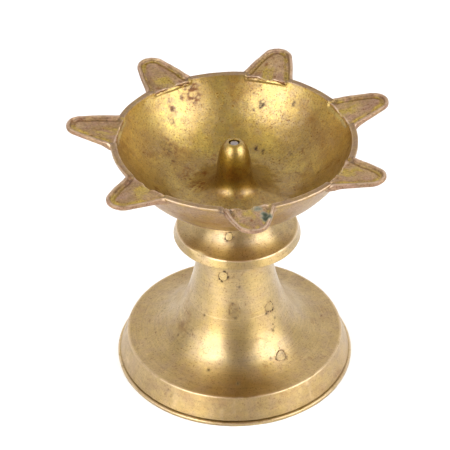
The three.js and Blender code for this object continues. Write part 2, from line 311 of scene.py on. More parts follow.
class Nodes:
    """A short way to write a node tree: each call adds a node and gives back its output."""

    def __init__(self, name):
        self.material = bpy.data.materials.new(name)
        self.material.use_nodes = True
        self.tree = self.material.node_tree
        self.shader = self.tree.nodes["Principled BSDF"]

    def add(self, kind, output=0, settings=(), **inputs):
        node = self.tree.nodes.new(kind)
        for key, value in settings:
            setattr(node, key, value)
        for key, value in inputs.items():
            slot = int(key[1:]) if key[0] == "i" and key[1:].isdigit() else key.replace("_", " ")
            self.feed(node.inputs[slot], value)
        return node.outputs[output]

    def feed(self, socket, value):
        if isinstance(value, bpy.types.NodeSocket):
            self.tree.links.new(value, socket)
        else:
            socket.default_value = value

    def put(self, socket_name, value):
        self.feed(self.shader.inputs[socket_name], value)

    def math(self, operation, a, b=0.0, clamp=False):
        settings = (("operation", operation), ("use_clamp", clamp))
        return self.add("ShaderNodeMath", settings=settings, i0=a, i1=b)

    def times(self, a, b, clamp=False):
        return self.math("MULTIPLY", a, b, clamp)

    def plus(self, a, b):
        return self.math("ADD", a, b)

    def ramp(self, value, low, high, to_low=0.0, to_high=1.0):
        return self.add(
            "ShaderNodeMapRange", settings=(("interpolation_type", "SMOOTHSTEP"),),
            i0=value, i1=low, i2=high, i3=to_low, i4=to_high,
        )

    def mix(self, factor, a, b, blend="MIX"):
        settings = (("data_type", "RGBA"), ("blend_type", blend))
        return self.add("ShaderNodeMix", output=2, settings=settings, i0=factor, i6=a, i7=b)

    def noise(self, vector, scale, detail=3.0, roughness=0.55):
        return self.add(
            "ShaderNodeTexNoise", Vector=vector, Scale=scale, Detail=detail, Roughness=roughness
        )

    def attribute(self, name):
        return self.add("ShaderNodeAttribute", output=1, settings=(("attribute_name", name),))

    def parts(self, vector):
        node = self.tree.nodes.new("ShaderNodeSeparateXYZ")
        self.feed(node.inputs[0], vector)
        return node.outputs[0], node.outputs[1], node.outputs[2]


# Linear colours that every brass shares.
BARE_BRASS = (0.54, 0.395, 0.10, 1)
# Brown for stains, and for painted shade and reflection round the bowl's boss.
STAIN_AND_SHADE_BROWN = (0.27, 0.105, 0.018, 1)
PIT_BROWN = (0.19, 0.080, 0.012, 1)
# Black for grime, and for painted shade in gaps, creases and shadowed spots.
GRIME_AND_SHADE_BLACK = (0.050, 0.026, 0.009, 1)
VERDIGRIS_PALE = (0.26, 0.27, 0.21, 1)
VERDIGRIS_DEEP = (0.038, 0.052, 0.024, 1)
# Noise scales, in features per metre.
CLOUD_SCALE = 60.0
PIT_AREA_SCALE = 75.0
PATINA_SCALE = 150.0
BLOTCH_SCALE = 210.0
PIT_SCALE = 760.0
FINE_SCALE = 950.0
SMALL_PIT_SCALE = 1500.0
FILM_ROUGHNESS = 0.32
GRAIN_HEIGHT = 0.00016  # metres
QUARTER_TURN = 0.25


def brass(name, clean, deep, worn_and_highlight, patina, patina_amount, roughness, turned, speckle, brushed=0.0,
          film=0.4, film_gloss=1.8, grit=0.24):
    """Aged brass. Colours are linear. Turned is how strongly the lathe's rings show, brushed how far
    they draw a highlight out across themselves, speckle how densely dark pits lie, film the clear
    layer of oil and tarnish on top and film_gloss its refractive index, grit the contrast of the
    finest grain."""
    n = Nodes(name)
    place = n.add("ShaderNodeTexCoord", output=3)
    wear_and_highlight, grime_and_shade, stain_and_shade = n.parts(n.attribute("marks"))
    bare, verdigris, shade = n.parts(n.attribute("tones"))
    grain = n.attribute("grain")

    cloud = n.noise(place, CLOUD_SCALE, 4.0)
    blotch = n.noise(place, BLOTCH_SCALE, 4.0, 0.65)
    fine = n.noise(place, FINE_SCALE, 4.0, 0.7)
    rings = n.noise(grain, 1.0, 5.0, 0.75)
    scratch = n.noise(grain, 3.3, 3.0, 0.6)

    colour = n.mix(n.ramp(cloud, 0.35, 0.65), clean, deep)
    colour = n.mix(n.times(n.ramp(blotch, 0.42, 0.66), 0.55), colour, deep)
    patina_mask = n.ramp(n.noise(place, PATINA_SCALE, 5.0, 0.65), 0.40, 0.66)
    patina_mask = n.plus(patina_mask, n.times(shade, 0.6))
    patina_mask = n.times(patina_mask, patina_amount, clamp=True)
    colour = n.mix(patina_mask, colour, patina)
    bare_mask = n.times(bare, n.ramp(blotch, 0.30, 0.55), clamp=True)
    colour = n.mix(bare_mask, colour, BARE_BRASS)
    # Real stains share this mask and brown with the painted shade and reflection round the bowl's boss.
    stain_and_shade_mask = n.times(stain_and_shade, n.ramp(blotch, 0.34, 0.60), clamp=True)
    colour = n.mix(stain_and_shade_mask, colour, STAIN_AND_SHADE_BROWN)
    value = n.ramp(fine, 0.30, 0.72, 1.0 + 0.5 * grit, 1.0 - grit)
    ring_value = n.ramp(rings, 0.30, 0.72, 1.0 + 0.10 * turned, 1.0 - 0.18 * turned)
    value = n.times(value, ring_value)
    grey = n.add("ShaderNodeCombineColor", i0=value, i1=value, i2=value)
    colour = n.mix(1.0, colour, grey, "MULTIPLY")

    speck_area = n.ramp(n.noise(place, PIT_AREA_SCALE, 3.0), 0.40, 0.60, 0.12, 1.0)
    large = n.times(n.ramp(n.noise(place, PIT_SCALE, 3.0, 0.6), 0.60, 0.70), speck_area)
    small = n.times(n.ramp(n.noise(place, SMALL_PIT_SCALE, 1.0, 0.5), 0.60, 0.68), 0.60)
    specks = n.math("MAXIMUM", large, small)
    specks = n.times(specks, speckle, clamp=True)
    colour = n.mix(specks, colour, PIT_BROWN)
    # Wear and the rim's painted highlight share this mask and the worn colour.
    wear_and_highlight_mask = n.times(wear_and_highlight, n.ramp(blotch, 0.30, 0.52), clamp=True)
    colour = n.mix(wear_and_highlight_mask, colour, worn_and_highlight)
    # Grime and painted shade share this mask and black.
    grime_and_shade_mask = n.times(grime_and_shade, n.ramp(fine, 0.25, 0.5, 0.6, 1.0), clamp=True)
    colour = n.mix(grime_and_shade_mask, colour, GRIME_AND_SHADE_BLACK)
    green = n.mix(n.ramp(verdigris, 0.35, 0.95), VERDIGRIS_PALE, VERDIGRIS_DEEP)
    ragged = n.plus(verdigris, n.times(n.math("SUBTRACT", fine, 0.5), 0.5))
    colour = n.mix(n.ramp(ragged, 0.05, 0.75), colour, green)
    n.put("Base Color", colour)

    dull = n.math("MAXIMUM", n.times(grime_and_shade_mask, 0.7), n.times(verdigris, 0.9))
    dull = n.math("MAXIMUM", dull, n.times(specks, 0.12))
    n.put("Metallic", n.math("SUBTRACT", 1.0, dull, clamp=True))
    rough = n.plus(roughness, n.times(n.math("SUBTRACT", blotch, 0.5), 0.35))
    rough = n.plus(rough, n.times(n.math("SUBTRACT", fine, 0.5), 0.20))
    for mask, rougher in ((patina_mask, 0.08), (stain_and_shade_mask, 0.12), (dull, 0.3)):
        rough = n.plus(rough, n.times(mask, rougher))
    rough = n.math("SUBTRACT", rough, n.times(wear_and_highlight_mask, 0.06))
    n.put("Roughness", rough)
    covered = n.math("MAXIMUM", grime_and_shade_mask, n.math("MAXIMUM", specks, verdigris))
    for mask, part in ((stain_and_shade_mask, 0.8), (shade, 0.40)):
        covered = n.math("MAXIMUM", covered, n.times(mask, part))
    clean_part = n.math("SUBTRACT", 1.0, covered, clamp=True)
    n.put("Coat Weight", n.times(clean_part, film))
    n.put("Coat Roughness", FILM_ROUGHNESS)
    n.put("Coat IOR", film_gloss)
    if brushed:
        n.put("Anisotropic", brushed)
        n.put("Anisotropic Rotation", QUARTER_TURN)
        tangent = n.add("ShaderNodeTangent", settings=(("direction_type", "RADIAL"), ("axis", "Z")))
        n.put("Tangent", tangent)

    height = n.times(rings, 0.5 * turned)
    for relief, part in ((scratch, 0.2 * turned), (fine, 0.28), (blotch, 0.5)):
        height = n.plus(height, n.times(relief, part))
    height = n.math("SUBTRACT", height, n.times(specks, 0.6))
    height = n.plus(height, n.times(verdigris, fine))
    bump = n.add("ShaderNodeBump", Strength=0.6, Distance=GRAIN_HEIGHT, Height=height)
    n.put("Normal", bump)
    return n.material


LATHE_WORK = {
    "worn_and_highlight": (0.80, 0.62, 0.38, 1), "roughness": 0.38, "turned": 0.75, "brushed": 0.86, "grit": 0.10,
    "film": 1.0,
}
TURNED = brass(
    "turned_brass", clean=(0.59, 0.430, 0.175, 1), deep=(0.50, 0.350, 0.112, 1),
    patina=(0.46, 0.315, 0.175, 1), patina_amount=0.45, speckle=0.6, **LATHE_WORK,
)
BOWL = brass(
    "bowl_brass", clean=(0.50, 0.345, 0.032, 1), deep=(0.37, 0.222, 0.010, 1),
    worn_and_highlight=(0.74, 0.57, 0.39, 1),
    patina=(0.35, 0.230, 0.125, 1), patina_amount=0.7, roughness=0.40, turned=0.3, speckle=0.85,
    brushed=0.3, film=1.0, film_gloss=1.95,
)
SPOUT = brass(
    "spout_brass", clean=(0.62, 0.44, 0.225, 1), deep=(0.37, 0.240, 0.100, 1),
    worn_and_highlight=(0.76, 0.60, 0.46, 1),
    patina=(0.47, 0.30, 0.21, 1), patina_amount=0.75, roughness=0.46, turned=0.7, speckle=0.9,
)
PLUG = brass(
    "plug_brass", clean=(0.58, 0.420, 0.170, 1), deep=(0.48, 0.335, 0.108, 1),
    patina=(0.40, 0.28, 0.11, 1), patina_amount=0.9, speckle=0.7, **LATHE_WORK,
)
STEEL = brass(
    "stud_steel", clean=(0.34, 0.31, 0.31, 1), deep=(0.24, 0.21, 0.21, 1), worn_and_highlight=(0.50, 0.47, 0.46, 1),
    patina=(0.22, 0.17, 0.13, 1), patina_amount=0.5, roughness=0.40, turned=0.4, speckle=0.6,
)


def finish_piece(piece, material, node, body):
    """Gives a finished mesh its material, hangs it under its body's empty and hides the CAD node it
    stands for.
    """
    piece.data.materials.clear()
    piece.data.materials.append(material)
    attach(piece, body)
    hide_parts(node)


def rotation(degrees, axis):
    return Matrix.Rotation(math.radians(degrees), 4, axis)


def around_axis(points, centre_x=0.0):
    """Distance from the axis and azimuth in degrees of each point."""
    x = points[:, 0] - centre_x
    return np.hypot(x, points[:, 1]), np.degrees(np.arctan2(points[:, 1], x))


def turned_grain(points, along, centre_x=0.0, rings_per_mm=2.6):
    """Coordinates in which noise makes rings round the axis."""
    _, azimuth = around_axis(points, centre_x)
    a = np.radians(azimuth)
    return np.cos(a) * 1.2, np.sin(a) * 1.2, along * rings_per_mm


def turn_between(azimuth, centre):
    """How far each azimuth is from a centre, from -180 to 180 degrees."""
    return (azimuth - centre + 180) % 360 - 180


# ---- Pedestal ----

NECK_R = 15.9
NECK_SOLID = 9.7  # length of the neck that holds the thread
INSIDE_NECK_R = 12.5
PEDESTAL_WALL = 3.0
FOOT_BORE_R = 48.2
TURNED_LINE_Z = 34.6  # a faint ring left by the lathe
FLARE = bezier(SHOULDER, (33.0, SHOULDER[1]), (20.9, 20.0), (NECK_R, NECK_TOP), 150)
FLARE_AND_BAND = np.vstack([[(BAND_FOOT_R, FOOT_Z), (51.0, 9.0)], FLARE])


def pedestal_outline():
    web = NECK_TOP - NECK_SOLID
    hole = STUD_R + GAP
    ceiling = SHOULDER[1] - PEDESTAL_WALL
    inside = bezier((INSIDE_NECK_R, web), (17.4, 19.0), (30.0, ceiling), (47.0, ceiling), 40)
    low = rounded([
        (FOOT_BORE_R, FOOT_Z), (53.5, FOOT_Z, 0.2), (BAND_FOOT_R, FOOT_Z + 0.3, 0.25),
        (SHOULDER[0] + 0.25, SHOULDER[1], 0.45), (SHOULDER[0] - 2.0, SHOULDER[1]),
    ])
    flare = FLARE[FLARE[:, 0] < SHOULDER[0] - 2.4][:-3]
    top = rounded([
        tuple(flare[-1]), (NECK_R, NECK_TOP, 0.3), (hole, NECK_TOP), (hole, web), (INSIDE_NECK_R, web),
    ])
    return np.vstack([
        resample(low, 0.45), resample(flare, 0.5), resample(top[1:], 1.0), inside,
        [(FOOT_BORE_R, FOOT_Z)],
    ])


def plug_outline(plug, angle):
    """Radius of a plug's uneven outline, before it is made taller, at angles in radians."""
    lobes = np.sin(2 * angle + plug["azimuth"]) * 0.6 + np.sin(3 * angle + plug["height"]) * 0.5
    return plug["radius"] * (1 + plug["lobes"] * lobes)


PLUG_CLEARANCE = 0.05
PLUG_SINK = 0.02  # how far a plug's end lies below the casting
PLUG_CHAMFER = 0.06
PLUG_LENGTH = 2.4
PIN_ENDS = (-7.0, 4.0)  # a cutter's ends, measured outwards from the surface


def plug_cutter(plug, surface_r, lean):
    """A short closed pin through a wall at a plug's place, a hair wider than the plug."""
    steps = 48
    angle = ring_angles(steps)
    radius = plug_outline(plug, angle) + PLUG_CLEARANCE
    across, upward = radius * np.cos(angle), radius * np.sin(angle) * plug["tall"]
    points = [np.column_stack([np.full(steps, depth), across, upward]) for depth in PIN_ENDS]
    faces = [(k, (k + 1) % steps, (k + 1) % steps + steps, k + steps) for k in range(steps)]
    faces += [tuple(range(steps - 1, -1, -1)), tuple(range(steps, 2 * steps))]
    pin = make_object("cutter", np.vstack(points), faces)
    tilt = Matrix.Rotation(-lean, 4, "Y")
    around = rotation(plug["azimuth"], "Z")
    place = Matrix.Translation(Vector((surface_r, 0, plug["height"])) * MM)
    pin.data.transform(around @ place @ tilt)
    return pin


def surface_at(line, height):
    """Distance off the axis and outward lean of a turned surface at a height."""
    k = int(np.argmin(np.abs(line[:, 1] - height)))
    k = min(max(k, 1), len(line) - 2)
    run = line[k + 1] - line[k - 1]
    run = run if run[1] > 0 else -run
    return line[k][0], math.atan2(-run[0], run[1])


def make_plug(plug, line, body, centre_x=0.0, seed=0):
    """A plug's outer end, which follows the casting it closes and lies a hair below it."""
    steps, rings = 48, 9
    upright = line[np.argsort(line[:, 1])]
    lengths = np.concatenate([[0], np.cumsum(np.linalg.norm(np.diff(upright, axis=0), axis=1))])
    centre = np.interp(plug["height"], upright[:, 1], lengths)
    angle = ring_angles(steps)
    outline = plug_outline(plug, angle)
    rows = [(0.0, -PLUG_SINK)]
    for part in np.arange(1, rings + 1) / rings:
        rows.append((part, -PLUG_SINK - PLUG_CHAMFER * ease(0.86, 1.0, part)))
    rows.append((1.0, -PLUG_LENGTH))
    points = []
    for part, sink in rows:
        across = outline * part * np.cos(angle)
        length = centre + outline * part * np.sin(angle) * plug["tall"]
        r, z = (np.interp(length, lengths, upright[:, i]) for i in (0, 1))
        ahead_r, ahead_z = (np.interp(length + 0.5, lengths, upright[:, i]) for i in (0, 1))
        lean = np.arctan2(r - ahead_r, ahead_z - z)
        out = r + sink * np.cos(lean)
        azimuth = math.radians(plug["azimuth"]) + across / r
        ring = np.column_stack([
            centre_x + out * np.cos(azimuth), out * np.sin(azimuth), z + sink * np.sin(lean),
        ])
        points.append(ring if part > 0 else ring[:1])
    points = np.vstack(points)
    nexts = (np.arange(steps) + 1) % steps
    faces = [(0, 1 + s, 1 + int(nexts[s])) for s in range(steps)]
    for k in range(len(rows) - 2):
        a, b = 1 + k * steps, 1 + (k + 1) * steps
        faces.extend((a + s, b + s, b + int(nexts[s]), a + int(nexts[s])) for s in range(steps))
    last = 1 + (len(rows) - 2) * steps
    faces.append(tuple(last + s for s in range(steps - 1, -1, -1)))
    piece = make_object(plug["node"] + "_end", points, faces)
    part = np.concatenate([[0.0], np.repeat([row[0] for row in rows[1:]], steps)])
    round_it = np.concatenate([[0.0], np.tile(angle, len(rows) - 1)])
    dirt = ease(0.85, 1.0, part) * plug["dark"] * dashes(round_it, seed)
    mottle = ease(-0.3, 0.5, noise(points, 1.2, 40 + seed))
    paint(
        piece, turned_grain(points, points[:, 2], centre_x), grime_and_shade=dirt,
        stain_and_shade=mottle * plug["fill"] * 0.4, shade=plug["fill"] * (0.7 + 0.5 * mottle),
    )
    finish_piece(piece, PLUG, plug["node"], body)
    return piece


def dashes(angle, seed):
    """Breaks a ring into dashes: 0 to 1 by angle."""
    return ease(-0.02, 0.22, noise(on_unit_ring(angle), 0.35, 300 + seed))


def plug_place(points, plug, line, centre_x=0.0):
    """Each point's place on a plug's face: across and up it, in millimetres."""
    _, azimuth = around_axis(points, centre_x)
    surface_r, lean = surface_at(line, plug["height"])
    across = np.radians(turn_between(azimuth, plug["azimuth"])) * surface_r
    return across, (points[:, 2] - plug["height"]) / max(0.35, math.cos(lean))


def plug_halo(points, plugs, line, centre_x=0.0):
    """Dirt in the joint line and a faint stain round each plug."""
    grime_and_shade, stain_and_shade = np.zeros(len(points)), np.zeros(len(points))
    for k, plug in enumerate(plugs):
        across, upward = plug_place(points, plug, line, centre_x)
        upward = upward / plug["tall"]
        angle = np.arctan2(upward, across)
        beyond = np.hypot(across, upward) - plug_outline(plug, angle)
        heavy = dashes(angle, k)
        ring = bump_at(beyond, 0.16, 0.18 + 0.24 * heavy) * plug["dark"] * (0.22 + 1.3 * heavy)
        grime_and_shade = np.maximum(grime_and_shade, ring)
        stain_and_shade = np.maximum(stain_and_shade, bump_at(beyond, 0.2, 0.9) * 0.35)
    return np.clip(grime_and_shade, 0, 1), stain_and_shade


def blots(points, marks, line):
    """Dirt of the rings and blots that lie on the surface only."""
    grime_and_shade = np.zeros(len(points))
    for k, (azimuth, height, radius, dark) in enumerate(marks):
        across, upward = plug_place(points, {"azimuth": azimuth, "height": height}, line)
        away = np.hypot(across, upward) + noise(points, 1.4, 120 + k) * 0.3
        angle = np.arctan2(upward, across)
        ring = bump_at(away, radius, 0.32) * dashes(angle, 30 + k)
        mark = ring if radius else 1.2 * bump_at(away, 0, 0.65)
        grime_and_shade = np.maximum(grime_and_shade, mark * dark)
    return np.clip(grime_and_shade, 0, 1)


def make_pedestal():
    piece = revolve("pedestal_casting", pedestal_outline(), 360)
    warp(piece, 0.05, 9.0, 3)
    for plug in PEDESTAL_PLUGS:
        surface_r, lean = surface_at(FLARE, plug["height"])
        cut_with(piece, plug_cutter(plug, surface_r, lean))
    points = points_of(piece)
    r, azimuth = around_axis(points)
    z = points[:, 2]
    edge = bump_at(np.hypot(r - SHOULDER[0], z - SHOULDER[1]), 0.25, 0.35) * 0.7
    # Painted shade: a dark line along the band's foot, at the gap above the bottom plate.
    seam = bump_at(z, FOOT_Z, 0.45) * ease(49, 51, r)
    # Painted shadow: the top of the neck is darkened where the collar's shadow falls on it.
    neck = ease(NECK_TOP - 7.5, NECK_TOP - 4.5, z) * 0.7
    line_front = ease(0.5, 0.95, np.cos(np.radians(azimuth + 95)))
    turned_line = bump_at(z, TURNED_LINE_Z, 0.25) * line_front
    halo, halo_stain = plug_halo(points, PEDESTAL_PLUGS, FLARE)
    halo = np.maximum(halo, blots(points, PEDESTAL_MARKS, FLARE_AND_BAND))
    dirt = ease(0.1, 0.7, noise(points, 12.0, 8)) * 0.4
    flecks = ease(0.35, 0.6, noise(points, 2.0, 10))
    flecks = flecks * ease(0.0, 0.5, noise(points, 14.0, 11))
    dirt = dirt + flecks * ease(24, 34, r) * 0.8
    band = ease(SHOULDER[1], SHOULDER[1] - 0.6, z) * ease(49.5, 50, r)
    scuffs = ease(0.25, 0.6, noise(points * (1, 1, 0.5), 3.0, 9)) * band * 0.5
    paint(
        piece, turned_grain(points, np.where(r < 30, z, z * 0.4 + r * 0.9)),
        wear_and_highlight=edge + turned_line * 0.4 + scuffs * 0.6,
        grime_and_shade=seam * 0.4 + neck * 0.5 + halo,
        stain_and_shade=dirt + halo_stain,
        shade=np.maximum(ease(30, 48, r) * 0.5, band * 0.8),
    )
    finish_piece(piece, TURNED, "pedestal", "pedestal")
    for k, plug in enumerate(PEDESTAL_PLUGS):
        make_plug(plug, FLARE, "pedestal", seed=k)


SPIGOT_R = 46.2
SPIGOT_TOP = PLATE_TOP + 1.6
PLATE_LIP = 2.6
LEVEL_WITHIN = 0.25  # points lower than this are put back on the floor


def make_bottom_plate():
    seat = PLATE_TOP + 0.05
    outline = rounded([
        (0, 0), (PLATE_R, 0, 0.45), (PLATE_R, PLATE_TOP, 0.6), (PLATE_R - PLATE_LIP, seat, 0.3),
        (SPIGOT_R, seat, 0.2), (SPIGOT_R, SPIGOT_TOP, 0.3), (0, SPIGOT_TOP),
    ])
    piece = revolve("bottom_plate_disc", resample(outline, 0.6), 360)
    warp(piece, 0.04, 14.0, 12)
    points = points_of(piece)
    flat = points[:, 2] < LEVEL_WITHIN
    points[flat, 2] = 0.0
    move_points(piece, points)
    r, _ = around_axis(points)
    lip = bump_at(r, PLATE_R - 0.4, 0.5) * ease(PLATE_TOP * 0.4, PLATE_TOP, points[:, 2])
    # Painted shade: the plate's top inside the lip is darkened where it lies under the pedestal's band.
    groove = ease(PLATE_R - 1.6, PLATE_R - 2.4, r) * ease(0.5, 1.0, points[:, 2])
    under = bump_at(points[:, 2], 0, 0.25) * 0.5
    paint(piece, turned_grain(points, r), wear_and_highlight=lip * 0.8, grime_and_shade=groove * 0.5 + under)
    finish_piece(piece, TURNED, "bottom_plate", "pedestal")


# ---- Collar ----

COLLAR_EDGE = (27.5, 72.7)
COLLAR_FOOT = (COLLAR_R, 68.7)
COLLAR_SEAT = 16.8
DENT_AZIMUTH = -128
DENT_PLACE = (27.6, 72.4)
DENT_IN, DENT_DOWN = 0.55, 0.45
SEAT_TOP = BOWL_CENTRE - math.sqrt((BOWL_R + GAP) ** 2 - COLLAR_SEAT**2)
COLLAR_HOLLOW = bezier(COLLAR_EDGE, (20.5, 74.2), (17.4, 78.7), (COLLAR_SEAT, SEAT_TOP), 60)


def make_collar():
    hole = STUD_R + GAP
    bottom = COLLAR_LOW[2]
    low = rounded([
        (hole, bottom), (16.9, bottom, 0.4), (COLLAR_FOOT[0] - 1.2, COLLAR_FOOT[1] - 0.8, 0.5),
        (*COLLAR_FOOT, 0.35), (*COLLAR_EDGE, 0.3), tuple(COLLAR_HOLLOW[2]),
    ])
    seat = sphere_arc(BOWL_R + GAP, COLLAR_SEAT, hole, 12)
    outline = np.vstack([resample(low, 0.45), COLLAR_HOLLOW[3:], seat[1:], [(hole, bottom)]])
    piece = revolve("collar_ring", outline, 256)
    points = points_of(piece)
    outer = ease(5.0, 15.0, np.hypot(points[:, 0], points[:, 1]))
    points[:, 0] += COLLAR_X * outer
    move_points(piece, points)
    warp(piece, 0.10, 6.0, 21)
    points = points_of(piece)
    r, azimuth = around_axis(points, COLLAR_X)
    from_dent = np.hypot(r - DENT_PLACE[0], points[:, 2] - DENT_PLACE[1])
    dent = bump_at(turn_between(azimuth, DENT_AZIMUTH), 0, 9.0) * bump_at(from_dent, 0, 1.1)
    scale = 1 - DENT_IN * dent / np.maximum(r, 1)
    points[:, 0] = COLLAR_X + (points[:, 0] - COLLAR_X) * scale
    points[:, 1] *= scale
    points[:, 2] -= DENT_DOWN * dent
    move_points(piece, points)
    surface_r, lean = surface_at(COLLAR_HOLLOW, COLLAR_PLUG["height"])
    cutter = plug_cutter(COLLAR_PLUG, surface_r, lean)
    cutter.data.transform(Matrix.Translation((COLLAR_X * MM, 0, 0)))
    cut_with(piece, cutter)
    points = points_of(piece)
    r, _ = around_axis(points, COLLAR_X)
    z = points[:, 2]
    ragged = noise(points, 3.0, 25) * 0.4
    upper = bump_at(np.hypot(r - COLLAR_EDGE[0], z - COLLAR_EDGE[1]), 0.2, 0.32) * 0.8
    lower = bump_at(z, COLLAR_FOOT[1] - 0.5, 0.6) * ease(24, 27, r)
    under = ease(COLLAR_FOOT[1] - 0.4, COLLAR_FOOT[1] - 1.6, z)
    seat_line = ease(SEAT_TOP - 1.2, SEAT_TOP, z)
    halo, halo_stain = plug_halo(points, [COLLAR_PLUG], COLLAR_HOLLOW, COLLAR_X)
    paint(
        piece, turned_grain(points, np.where(r > 26.8, z, r), COLLAR_X), wear_and_highlight=upper,
        grime_and_shade=lower * (0.6 + ragged) + under * 0.6 + seat_line * 0.8 + halo, stain_and_shade=halo_stain,
    )
    finish_piece(piece, TURNED, "collar", "pedestal")
    make_plug(COLLAR_PLUG, COLLAR_HOLLOW, "pedestal", COLLAR_X, seed=9)


# ---- Stud ----

THREAD_DEPTH = 0.42


def make_stud():
    """Threaded below the bowl, plain inside the boss, with a hammered end in the boss's top."""
    shoulder = BOWL_CENTRE - BOWL_R - GAP
    start = STUD_LOW[2]
    thread = np.arange(start + 0.4, shoulder - 0.6, 0.12)
    rows = [(0.0, start), (STUD_R - 1.0, start)]
    rows += [(STUD_R, z) for z in thread]
    rows += [(STUD_R - 0.1, shoulder - 0.3), (STUD_R - 0.4, shoulder), (SHANK_R, shoulder)]
    rows += [(SHANK_R, z) for z in np.linspace(shoulder + 1, STUD_HIGH[2] - 0.5, 20)]
    rows += [(SHANK_R - 0.12, STUD_HIGH[2] - 0.2), (SHANK_R - 0.45, STUD_HIGH[2] - 0.05)]
    rows += [(SHANK_R * 0.5, STUD_HIGH[2]), (0.0, STUD_HIGH[2])]
    piece = revolve("threaded_stud_rod", np.array(rows), 64)
    points = points_of(piece)
    r, azimuth = around_axis(points)
    z = points[:, 2]
    turns = z / THREAD_PITCH - azimuth / 360
    tooth = np.abs((turns % 1) * 2 - 1)
    on_thread = (r > STUD_R - 0.05) & (z > start + 0.3) & (z < shoulder - 0.5)
    root = np.where(on_thread, ease(0.15, 0.85, tooth) * THREAD_DEPTH, 0)
    scale = np.where(r > 0.01, (r - root) / np.maximum(r, 0.01), 1)
    points[:, :2] *= scale[:, None]
    move_points(piece, points)
    warp(piece, 0.03, 1.2, 31)
    points = points_of(piece)
    end = ease(STUD_HIGH[2] - 0.6, STUD_HIGH[2] - 0.2, points[:, 2])
    # Painted shade: a dark ring round the stud's end, where it meets the bore.
    rim = ease(SHANK_R - 0.5, SHANK_R, r) * end
    paint(piece, turned_grain(points, z), wear_and_highlight=end * 0.4 * (1 - rim), grime_and_shade=root * 1.4 + rim * 0.9)
    finish_piece(piece, STEEL, "threaded_stud", "stud")


# ---- Bowl ----

# Stains seen inside the bowl: azimuth (degrees), distance off the axis, size, how brown, how black. The
# two at 150 and 175 degrees, close to the boss, are also a painted reflection of the boss in the floor
# beside it.
BOWL_STAINS_AND_REFLECTIONS = [
    (113, 48.7, 4.2, 1.3, 0.30), (119, 49.5, 3.0, 1.3, 0.35), (127, 47.0, 2.2, 1.1, 0.45),
    (131, 44.0, 2.0, 1.1, 0.45), (74, 45.1, 1.9, 0.5, 1.0), (78, 43.0, 1.0, 0.4, 0.8),
    (70, 30.2, 1.9, 0.4, 1.1), (63, 29.5, 1.5, 0.3, 1.0), (144, 37.1, 4.6, 0.8, 0.40),
    (150, 33.0, 3.0, 0.7, 0.30), (112, 26.4, 5.0, 1.0, 0.15), (150, 20.0, 6.5, 1.1, 0.0),
    (175, 16.0, 5.0, 1.0, 0.0), (55, 47.4, 1.1, 0.5, 0.9), (37, 49.0, 1.2, 0.8, 0.7),
    (40, 34.0, 2.0, 0.6, 0.5), (20, 30.0, 2.2, 0.8, 0.3), (-165, 32.0, 5.5, 1.0, 0.25),
    (-150, 38.0, 5.0, 1.0, 0.25), (-108, 19.0, 5.0, 1.1, 0.15), (-130, 30.0, 6.0, 1.0, 0.30),
    (-20, 34.0, 4.0, 0.6, 0.15), (0, 42.0, 3.0, 0.6, 0.2),
]


def bowl_outline():
    """The sphere's outside, the lip's edge, the sphere's inside, the valley and the central boss."""
    outside = sphere_arc(BOWL_R, BORE_R, 53.1, 110)
    lip_line = rounded([
        tuple(outside[-1]), (53.35, RIM_Z - 1.75, 0.25), (RIM_R - 0.05, RIM_Z - 1.45, 0.25),
        (RIM_R, RIM_Z, 0.35), (RIM_INNER - 0.05, RIM_Z, 0.3),
        tuple(sphere_arc(INNER_R, 51.0, 51.0, 1)[0]),
    ])
    inside = sphere_arc(INNER_R, 50.9, HUMP_SKIRT + 0.4, 80)
    skirt_height = BOWL_CENTRE - math.sqrt(INNER_R**2 - HUMP_SKIRT**2)
    fall = HUMP_SKIRT / math.sqrt(INNER_R**2 - HUMP_SKIRT**2)
    foot = (16.0, HUMP_WAIST[1] - 8.7)
    pull = 26.2
    valley = bezier(
        (HUMP_SKIRT, skirt_height), (pull, skirt_height - fall * (HUMP_SKIRT - pull)),
        (21.0, foot[1] - 1.5), foot, 40,
    )
    skirt = bezier(foot, (11.7, foot[1] + 1.4), (8.5, HUMP_WAIST[1] - 4.9), HUMP_WAIST, 30)
    nose = bezier(HUMP_WAIST, (7.5, HUMP_WAIST[1] + 8.2), (6.2, HUMP_TOP - 1.4), (3.0, HUMP_TOP), 44)
    crown = rounded([
        tuple(nose[-2]), (2.8, HUMP_TOP, 0.12), (BORE_R, HUMP_TOP - 0.2, 0.15), (BORE_R, HUMP_TOP - 3),
    ])
    return np.vstack([
        outside, resample(lip_line, 0.25)[1:], inside, valley, skirt, nose[:-2], crown, outside[:1],
    ])


def spout_window(azimuth, half_width, edge):
    """1 where a spout meets the rim, falling to 0 beyond half_width degrees."""
    window = np.zeros(len(azimuth))
    for spout in SPOUTS:
        away = np.abs(turn_between(azimuth, spout["azimuth"]))
        window = np.maximum(window, 1 - ease(half_width - edge, half_width + edge, away))
    return window


RIM_PATH = 54  # radius at which noise is taken along the rim
SEAT_HALF = 10.8  # half the width in degrees of the notch that a spout sits in
SEAT_DROP = 1.35
CHANNEL_HALF = 3.6  # the same for the oil's way into the spout
CHANNEL_DROP = 0.4
JOINT_SWELL = 0.7


